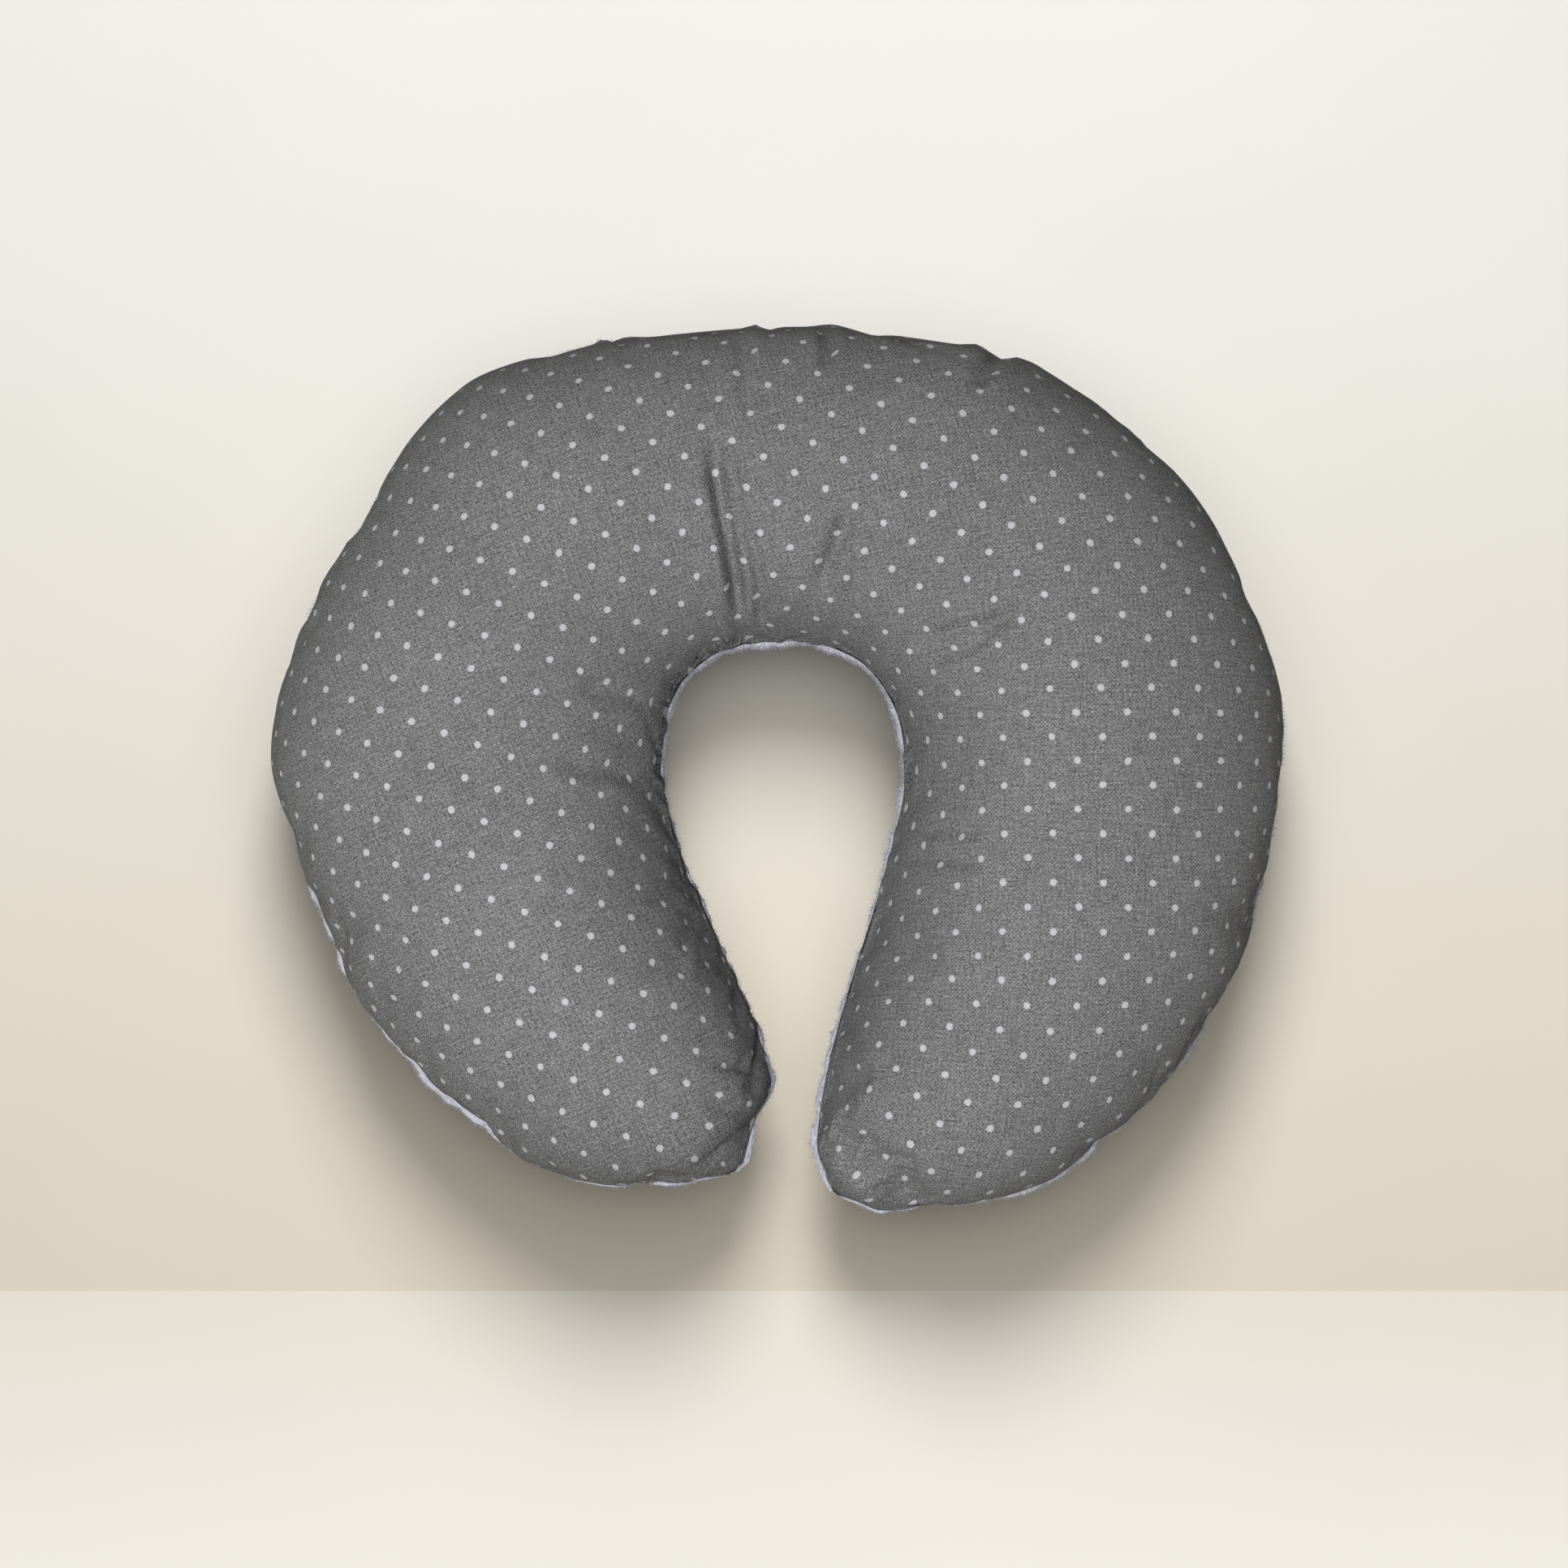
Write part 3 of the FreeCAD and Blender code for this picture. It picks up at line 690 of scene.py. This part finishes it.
class Graph:
    """A material's node tree, with short calls that add a node and join its inputs."""

    def __init__(self, name):
        self.material = bpy.data.materials.new(name)
        self.material.use_nodes = True
        self.tree = self.material.node_tree
        self.tree.nodes.clear()

    def add(self, kind, inputs=None, **settings):
        made = self.tree.nodes.new("ShaderNode" + kind)
        for key, value in settings.items():
            setattr(made, key, value)
        for key, value in (inputs or {}).items():
            if isinstance(value, bpy.types.NodeSocket):
                self.tree.links.new(value, made.inputs[key])
            else:
                made.inputs[key].default_value = value
        return made

    def math(self, operation, *values):
        return self.add("Math", dict(enumerate(values)), operation=operation).outputs[0]

    def scaled(self, vector, x, y, z):
        return self.add("VectorMath", {0: vector, 1: (x, y, z)}, operation="MULTIPLY").outputs[0]

    def noise(self, vector, scale, detail=3.0, roughness=0.6):
        inputs = {"Vector": vector, "Scale": scale, "Detail": detail, "Roughness": roughness}
        return self.add("TexNoise", inputs).outputs["Fac"]

    def ramp(self, value, low, high, new_low=0.0, new_high=1.0, smooth=False):
        inputs = {"Value": value, "From Min": low, "From Max": high}
        inputs.update({"To Min": new_low, "To Max": new_high})
        kind = "SMOOTHSTEP" if smooth else "LINEAR"
        return self.add("MapRange", inputs, interpolation_type=kind).outputs["Result"]

    def spread(self, noise, low, high):
        """A noise value stretched over a range. Most noise lies between 0.3 and 0.7."""
        return self.ramp(noise, 0.3, 0.7, low, high)

    def mix(self, share, first, second, blend="MIX"):
        made = self.add("Mix", data_type="RGBA", blend_type=blend)
        sockets = (made.inputs[0], made.inputs[6], made.inputs[7])
        for socket, value in zip(sockets, (share, first, second)):
            if isinstance(value, bpy.types.NodeSocket):
                self.tree.links.new(value, socket)
            else:
                socket.default_value = value
        return made.outputs[2]

    def shade(self, colour, value):
        """The colour darkened or lightened by a grey value about 1."""
        grey = self.add("CombineColor", {0: value, 1: value, 2: value}).outputs[0]
        return self.mix(1.0, colour, grey, "MULTIPLY")

    def bump(self, height, distance, strength=1.0, below=None):
        inputs = {"Height": height, "Distance": distance, "Strength": strength}
        if below is not None:
            inputs["Normal"] = below
        return self.add("Bump", inputs).outputs[0]

    def finish(self, colour, normal, **others):
        """The shader and the output. An underscore stands for a space in an input's name."""
        inputs = {"Base Color": colour}
        if normal is not None:
            inputs["Normal"] = normal
        inputs.update({key.replace("_", " "): value for key, value in others.items()})
        shader = self.add("BsdfPrincipled", inputs)
        self.add("OutputMaterial", {"Surface": shader.outputs[0]})
        return self.material


def dot_distance(g, u, v):
    """Distance from the nearest dot's middle: dots lie at the cells' corners and in their middles."""
    distances = []
    for half in (0.0, 0.5):
        gaps = []
        for axis, size, shift in zip((u, v), DOT_CELL, DOT_SHIFT):
            cell = g.math("DIVIDE", g.math("SUBTRACT", axis, shift), size)
            off = g.math("SUBTRACT", g.math("FRACT", g.math("ADD", cell, 0.5 + half)), 0.5)
            gaps.append(g.math("POWER", g.math("MULTIPLY", off, size), 2.0))
        distances.append(g.math("SQRT", g.math("ADD", *gaps)))
    return g.math("MINIMUM", *distances)


def woven_material():
    """Dark heathered grey plain weave with pale printed pin dots, in mm on the flat cloth."""
    g = Graph("woven_cotton")
    cloth = g.scaled(g.add("UVMap", uv_map="cloth").outputs[0], 1000, 1000, 0)
    wander = g.add("TexNoise", {"Vector": cloth, "Scale": 0.12, "Detail": 2.0}).outputs["Color"]
    wander = g.add("VectorMath", {0: wander, 1: (0.5, 0.5, 0.5)}, operation="SUBTRACT").outputs[0]
    place = g.add("VectorMath", {0: cloth, 1: g.scaled(wander, 1.4, 1.4, 0)}, operation="ADD")
    place = place.outputs[0]
    u, v, _ = g.add("SeparateXYZ", {0: place}).outputs
    turn_u = g.math("SINE", g.math("MULTIPLY", u, math.pi / THREAD))
    turn_v = g.math("SINE", g.math("MULTIPLY", v, math.pi / THREAD))
    weave = g.math("MULTIPLY", turn_u, turn_v)
    slub_u = g.noise(g.scaled(place, 0.9, 0.07, 1), 1.0, 2.0)
    slub_v = g.noise(g.scaled(place, 0.07, 0.9, 1), 1.0, 2.0)
    flecks = g.noise(place, 0.85, 4.0, 0.75)
    broad = g.noise(cloth, 0.012, 3.0)
    shade = g.math("ADD", g.spread(slub_u, 0.32, 0.68), g.spread(slub_v, 0.32, 0.68))
    shade = g.math("MULTIPLY", shade, g.spread(flecks, 0.15, 1.85))
    shade = g.math("MULTIPLY", shade, g.ramp(weave, -1, 1, 0.74, 1.26))
    shade = g.math("MULTIPLY", shade, g.ramp(broad, 0.35, 0.65, 0.95, 1.05))
    tone = g.mix(g.noise(place, 0.5, 2.0), WOVEN_DARK, WOVEN_LIGHT)
    ground = g.shade(tone, shade)
    away = dot_distance(g, u, v)
    away = g.math("ADD", away, g.spread(g.noise(place, 1.6, 2.0), -0.28, 0.28))
    dot = g.ramp(away, DOT_RADIUS - 0.3, DOT_RADIUS + 0.25, 1.0, 0.0, smooth=True)
    ink = g.math("MULTIPLY", dot, g.ramp(weave, -1, 1, 0.78, 1.0))
    colour = g.mix(ink, ground, g.shade(DOT_INK, g.spread(flecks, 0.88, 1.1)))
    height = g.math("ADD", g.math("MULTIPLY", weave, 0.6), g.math("MULTIPLY", flecks, 0.9))
    normal = g.bump(height, 0.00012, 0.8)
    normal = g.bump(g.noise(cloth, 0.09, 3.0), 0.0012, 0.5, normal)
    return g.finish(colour, normal, Roughness=0.92, Specular_IOR_Level=0.12)


def plush_material(name="plush", lift=1.0):
    """Lavender-grey short pile with brushed light and dark patches."""
    g = Graph(name)
    place = g.add("TexCoord").outputs["Object"]
    tufts = g.noise(place, 620.0, 4.0, 0.7)
    curls = g.add("TexVoronoi", {"Vector": place, "Scale": 420.0, "Randomness": 1.0})
    brushed = g.noise(place, 26.0, 3.0, 0.55)
    shade = g.math("MULTIPLY", g.spread(tufts, 0.7, 1.25), g.ramp(brushed, 0.35, 0.65, 0.88, 1.1))
    shade = g.math("MULTIPLY", shade, lift)
    colour = g.shade(g.mix(g.noise(place, 60.0), PLUSH_DARK, PLUSH_LIGHT), shade)
    height = g.math("ADD", tufts, g.math("MULTIPLY", curls.outputs["Distance"], -0.8))
    normal = g.bump(height, 0.0016, 0.9)
    sheen = {"Sheen_Weight": 0.5, "Sheen_Roughness": 0.4}
    return g.finish(colour, normal, Roughness=0.95, Specular_IOR_Level=0.15, **sheen)


def thread_material(name, light, dark, spacing=0.0006):
    """Twisted thread or fine tape: diagonal strands with small colour changes."""
    g = Graph(name)
    place = g.add("TexCoord").outputs["Object"]
    inputs = {"Vector": place, "Scale": 1 / spacing / WAVE_TURN, "Distortion": 1.5, "Detail": 2.0}
    strands = g.add("TexWave", inputs, bands_direction="DIAGONAL").outputs["Fac"]
    fuzz = g.noise(place, 1500.0)
    colour = g.mix(g.math("MULTIPLY", g.math("ADD", strands, fuzz), 0.5), dark, light)
    normal = g.bump(g.math("ADD", strands, fuzz), 0.0001, 0.7)
    return g.finish(colour, normal, Roughness=0.85, Sheen_Weight=0.1, Specular_IOR_Level=0.25)


def teeth_material():
    """Moulded plastic teeth, a little scuffed."""
    g = Graph("zip_teeth")
    place = g.add("TexCoord").outputs["Object"]
    scuffs = g.noise(place, 900.0, 4.0, 0.7)
    colour = g.mix(scuffs, TEETH_DARK, TEETH_LIGHT)
    roughness = g.spread(scuffs, 0.32, 0.55)
    return g.finish(colour, g.bump(scuffs, 0.00005, 0.4), Roughness=roughness)


def metal_material():
    """Satin enamel on the slider, stops and pull, with bright wear where it rubs."""
    g = Graph("zip_metal")
    place = g.add("TexCoord").outputs["Object"]
    rubbed = g.ramp(g.noise(place, 260.0, 5.0, 0.7), 0.6, 0.7)
    colour = g.mix(rubbed, ENAMEL, BARE_METAL)
    roughness = g.spread(g.noise(place, 800.0), 0.26, 0.42)
    normal = g.bump(g.noise(place, 1400.0), 0.00003, 0.35)
    return g.finish(colour, normal, Roughness=roughness, Metallic=0.55)


def plain_cloth_material(name, light, dark):
    """Undyed plain weave, ribbon or fibre."""
    g = Graph(name)
    place = g.scaled(g.add("TexCoord").outputs["Object"], 1000, 1000, 1000)
    x, y, _ = g.add("SeparateXYZ", {0: place}).outputs
    turn_x = g.math("SINE", g.math("MULTIPLY", x, PLAIN_WEAVE))
    turn_y = g.math("SINE", g.math("MULTIPLY", y, PLAIN_WEAVE))
    weave = g.math("MULTIPLY", turn_x, turn_y)
    slubs = g.noise(place, 0.8, 4.0)
    colour = g.mix(g.math("ADD", g.math("MULTIPLY", weave, 0.15), slubs), dark, light)
    normal = g.bump(g.math("ADD", weave, slubs), 0.0001, 0.6)
    return g.finish(colour, normal, Roughness=0.9, Specular_IOR_Level=0.2)


def paper_material():
    """Pale backdrop paper in two tones that meet along a line in front of the pillow; both darken
    towards that line as painted corner shade.
    """
    g = Graph("studio_floor")
    place = g.add("TexCoord").outputs["Object"]
    grain = g.noise(place, 3.0, 3.0)
    _, y, _ = g.add("SeparateXYZ", {0: place}).outputs
    # Both tones darken towards the fold line: painted shade where a wall would meet the table.
    wall = g.mix(g.ramp(y, FOLD_Y, WALL_END, smooth=True), WALL_WARM_FOLD_SHADE, WALL_FAR)
    table = g.mix(g.ramp(y, FOLD_Y, TABLE_END), TABLE_FOLD_SHADE, TABLE_NEAR)
    colour = g.mix(g.ramp(y, FOLD_Y - FOLD_BLUR, FOLD_Y + FOLD_BLUR), table, wall)
    colour = g.shade(colour, g.spread(grain, 0.985, 1.015))
    return g.finish(colour, None, Roughness=0.9, Specular_IOR_Level=0.1)


# ---- the pieces ----------------------------------------------------------------------------------
def put_on(piece, material):
    """Gives a piece its one material, in a named slot."""
    piece.data.materials.clear()
    piece.data.materials.append(material)


COTTON = 0.9  # thickness of the woven panel
PLUSH = 2.6  # thickness of the plush panel
THICKEST_TUCK = 0.8
THICKEST_HEM = 1.6
PANELS = [
    (1, COTTON, "top_panel", "cover_top_panel"),
    (-1, PLUSH, "back_panel", "cover_back_panel"),
]


def sheet_thickness(grid, full, reach):
    """Thickness of a panel at each point: thinner where it turns in and at the arms' narrow ends."""
    thickness = np.full(grid.shape[:2], full)
    thickness[:, : TUCK_ROWS + 1] = min(full, THICKEST_TUCK)
    thickness[:, -(TUCK_ROWS + HEM_ROWS) :] = min(full, THICKEST_HEM)
    return np.minimum(thickness, 0.3 * reach[:, None])


def make_panels():
    """Both panels of the cover, each with the grid of its outer face."""
    made = {}
    for (side, full, name, node), swell in zip(PANELS, swelling()):
        grid, inner, outer = panel_points(side, swell)
        reach = np.linalg.norm(outer - inner, axis=1) / 2
        piece = cloth_shell(name, grid, side, sheet_thickness(grid, full, reach))
        lay_print(piece, flat_places(grid, inner, outer))
        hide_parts(node)
        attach(piece, "pillow")
        made[name] = (piece, grid)
    return made


# The plush's fibres: how many, and their sizes as ranges.
PILE_SEED = 11
PILE_OVERALL = 16000
PILE_ALONG_SEAM = 7000
PILE_SEAM_ROWS = 7  # rows of the panel beside each seam that count as along it
PILE_LENGTH = (1.6, 3.4)
PILE_RADIUS = (0.09, 0.16)
PILE_SPREAD = 0.75  # how far a fibre leans off the plush's face
PILE_LIFT = np.array([0, 0, 0.25])
PILE_ROOT_DEPTH = 0.4
PILE_LOWEST_TIP = 0.3
PILE_LOWEST_ROOT = 1.0


def pile_roots(grid, rng):
    """Random places on the plush, thickest along both seams, and the way the plush faces there."""
    columns, rows = grid.shape[:2]
    first, last = TUCK_ROWS, rows - TUCK_ROWS - HEM_ROWS - 1
    spots = []
    for count, low, high in (
        (PILE_OVERALL, first + 1, last - 1),
        (PILE_ALONG_SEAM, first, first + PILE_SEAM_ROWS),
        (PILE_ALONG_SEAM, last - PILE_SEAM_ROWS, last),
    ):
        i = rng.uniform(1, columns - 2, count)
        j = rng.uniform(low, high, count)
        spots.append(np.stack([i, j], 1))
    spots = np.concatenate(spots)
    i, j = spots[:, 0].astype(int), spots[:, 1].astype(int)
    fi, fj = (spots[:, 0] - i)[:, None], (spots[:, 1] - j)[:, None]
    root = (
        grid[i, j] * (1 - fi) * (1 - fj)
        + grid[i + 1, j] * fi * (1 - fj)
        + grid[i, j + 1] * (1 - fi) * fj
        + grid[i + 1, j + 1] * fi * fj
    )
    return root, normals_of(grid, -1)[i, j]


def make_pile(grid):
    """Short fibres that stand out of the plush back, each a slim three-sided spike."""
    rng = np.random.default_rng(PILE_SEED)
    root, way = pile_roots(grid, rng)
    lean = unit(way + PILE_SPREAD * unit(rng.normal(size=root.shape)) + PILE_LIFT)
    tip = root + lean * rng.uniform(*PILE_LENGTH, (len(root), 1))
    keep = (tip[:, 2] > PILE_LOWEST_TIP) & (root[:, 2] > PILE_LOWEST_ROOT)
    root, lean, tip, way = root[keep], lean[keep], tip[keep], way[keep]
    a = unit(np.cross(lean, unit(rng.normal(size=root.shape))))
    b = np.cross(lean, a)
    radius = rng.uniform(*PILE_RADIUS, (len(root), 1))
    start = root - way * PILE_ROOT_DEPTH
    turns = (0, 2 * math.pi / 3, 4 * math.pi / 3)
    ring = [start + radius * (a * math.cos(t) + b * math.sin(t)) for t in turns]
    one = np.array([[0, 1, 3], [1, 2, 3], [2, 0, 3], [0, 2, 1]])
    faces = (np.arange(len(root))[:, None, None] * 4 + one[None]).reshape(-1, 3)
    piece = new_piece("plush_pile", np.stack([*ring, tip], 1), faces.tolist())
    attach(piece, "pillow")
    return piece


INNER_COLUMNS = 160
INNER_ROWS = 40
INNER_SEED = 3
INNER_WOBBLE = 0.15
INNER_SPARE = 6  # half width that an arm has left inside the inset where the inner pillow ends

# The inner pillow's layers: name, how far in from the cover's seam, how much lower than the
# cover's top and back, and the nodes each stands for.
INNER_LAYERS = [
    ("inner_casing", 13.0, 9.0, 4.0, ("casing_top_panel", "casing_back_panel")),
    ("fill_core", 15.0, 11.0, 6.0, ("fibre_fill",)),
]


def make_inner_pillow():
    """The casing and its fill, inside the cover and clear of it."""
    inner, outer, _ = seam_curves(INNER_COLUMNS)
    across = unit(outer - inner)
    reach = np.linalg.norm(outer - inner, axis=1) / 2
    shares = np.linspace(0, 1, INNER_ROWS)
    pieces = []
    for name, inset, off_top, off_back, nodes in INNER_LAYERS:
        keep = reach > inset + INNER_SPARE
        step = (across * inset)[keep]
        pair = (inner[keep] + step, outer[keep] - step)
        low = stuffed_points(*pair, shares, -1, off_back)
        high = stuffed_points(*pair, shares, 1, off_top)
        ring = closed_ring(high, low)
        wobble = np.random.default_rng(INNER_SEED).normal(size=ring.shape[:2]) * INNER_WOBBLE
        upper = slice(1, INNER_ROWS - 2)
        ring[:, upper, 2] += wobble[:, upper]
        piece = new_piece(name, ring, ring_faces(*ring.shape[:2]))
        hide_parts(*nodes)
        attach(piece, "pillow")
        pieces.append(piece)
    return pieces


def dress_cad_nodes():
    """Materials for the CAD nodes that stay: the zip, its thread and what is sewn inside."""
    thread = thread_material("seam_thread", THREAD_LIGHT, THREAD_DARK)
    tape = thread_material("zip_tape", TAPE_LIGHT, TAPE_DARK, 0.0009)
    teeth = teeth_material()
    metal = metal_material()
    label = plain_cloth_material("label", LABEL_LIGHT, LABEL_DARK)
    for material, names in (
        (thread, ("cover_seam_allowance", "zipper_bar_tacks")),
        (thread, ("zipper_stitches_upper", "zipper_stitches_lower")),
        (thread, ("casing_edge", "casing_closing_stitches")),
        (tape, ("zipper_tape_upper", "zipper_tape_lower")),
        (teeth, ("zipper_teeth_upper", "zipper_teeth_lower")),
        (metal, ("zipper_top_stops", "zipper_end_stop")),
        (metal, ("zipper_slider_body", "zipper_slider_bail", "zipper_pull_tab")),
        (label, ("cover_care_label",)),
    ):
        for name in names:
            mesh = frame["nodes"][name].data
            mesh.materials.clear()
            mesh.materials.append(material)


# ---- the studio, in metres -------------------------------------------------------------------------
FOLD_Y = -0.272  # where the backdrop paper's two tones meet
FOLD_BLUR = 0.0003
WALL_END = 0.3  # where the far paper has its last colour
TABLE_END = -0.45  # where the near paper has its last colour
FLOOR_HALF = 6.0
VIEW_WIDTH = 801.0 * MM  # what the picture spans at the seam's height
CAMERA_HEIGHT = 2.4
CAMERA_TILT = math.radians(1.5)  # from straight down, towards the open side
LOOK_AT = Vector((3.7 * MM, -8.8 * MM, SEAM_HEIGHT * MM))
LAMP_AIM = (0, 0, 0.05)
WORLD_STRENGTH = 0.04

# Lamps: name, place, size, power, and whether each lights only the floor or all but the floor.
LAMPS = [
    ("key", (-0.3, -0.3, 2.2), 0.5, 68, "EXCLUDE"),
    ("floor_shadow", (0.0, 1.8, 2.1), 1.2, 88, "INCLUDE"),
    ("floor_soft", (0, 0.2, 2.4), 3.0, 52, "INCLUDE"),
]


def area_light(name, place, size, power):
    """A round lamp turned to the pillow's middle."""
    data = bpy.data.lights.new(name, "AREA")
    data.shape = "DISK"
    data.size = size
    data.energy = power
    lamp = bpy.data.objects.new(name, data)
    lamp.location = place
    lamp.rotation_mode = "QUATERNION"
    lamp.rotation_quaternion = (Vector(LAMP_AIM) - Vector(place)).to_track_quat("-Z", "Y")
    bpy.context.scene.collection.objects.link(lamp)
    return lamp


def light_floor(lamp, floor, state):
    """Makes a lamp light nothing but the floor (INCLUDE), or all but the floor (EXCLUDE)."""
    receivers = bpy.data.collections.new(lamp.name + "_receivers")
    receivers.objects.link(floor)
    receivers.collection_objects[0].light_linking.link_state = state
    lamp.light_linking.receiver_collection = receivers


def make_studio():
    """The floor, the lamps and a faint even light from all round."""
    mesh = bpy.data.meshes.new("studio_floor")
    corners = [(x * FLOOR_HALF, y * FLOOR_HALF, 0) for x, y in ((-1, -1), (1, -1), (1, 1), (-1, 1))]
    mesh.from_pydata(corners, [], [(0, 1, 2, 3)])
    mesh.materials.append(paper_material())
    floor = bpy.data.objects.new("studio_floor", mesh)
    bpy.context.scene.collection.objects.link(floor)
    for name, place, size, power, state in LAMPS:
        light_floor(area_light(name, place, size, power), floor, state)
    world = bpy.data.worlds.new("studio")
    world.use_nodes = True
    background = world.node_tree.nodes["Background"]
    background.inputs[0].default_value = (1, 1, 1, 1)
    background.inputs[1].default_value = WORLD_STRENGTH
    bpy.context.scene.world = world
    bpy.context.scene.view_settings.view_transform = "Standard"


def make_camera():
    """The camera, nearly straight above the pillow."""
    data = bpy.data.cameras.new("camera")
    data.lens = CAMERA_HEIGHT * data.sensor_width / VIEW_WIDTH
    data.clip_end = 50
    camera = bpy.data.objects.new("camera", data)
    back = Vector((0, -math.sin(CAMERA_TILT), math.cos(CAMERA_TILT)))
    camera.location = LOOK_AT + back * CAMERA_HEIGHT
    camera.rotation_euler = (CAMERA_TILT, 0, 0)
    bpy.context.scene.collection.objects.link(camera)
    bpy.context.scene.camera = camera


def main():
    """Builds the pieces, their materials and the studio."""
    panels = make_panels()
    top, _ = panels["top_panel"]
    back, back_grid = panels["back_panel"]
    put_on(top, woven_material())
    put_on(back, plush_material())
    put_on(make_pile(back_grid), plush_material("plush_fibre", 1.15))
    casing, core = make_inner_pillow()
    cotton = plain_cloth_material("casing_cotton", CASING_LIGHT, CASING_DARK)
    put_on(casing, cotton)
    put_on(core, plain_cloth_material("fill", FILL_LIGHT, FILL_DARK))
    dress_cad_nodes()
    make_studio()
    make_camera()


main()
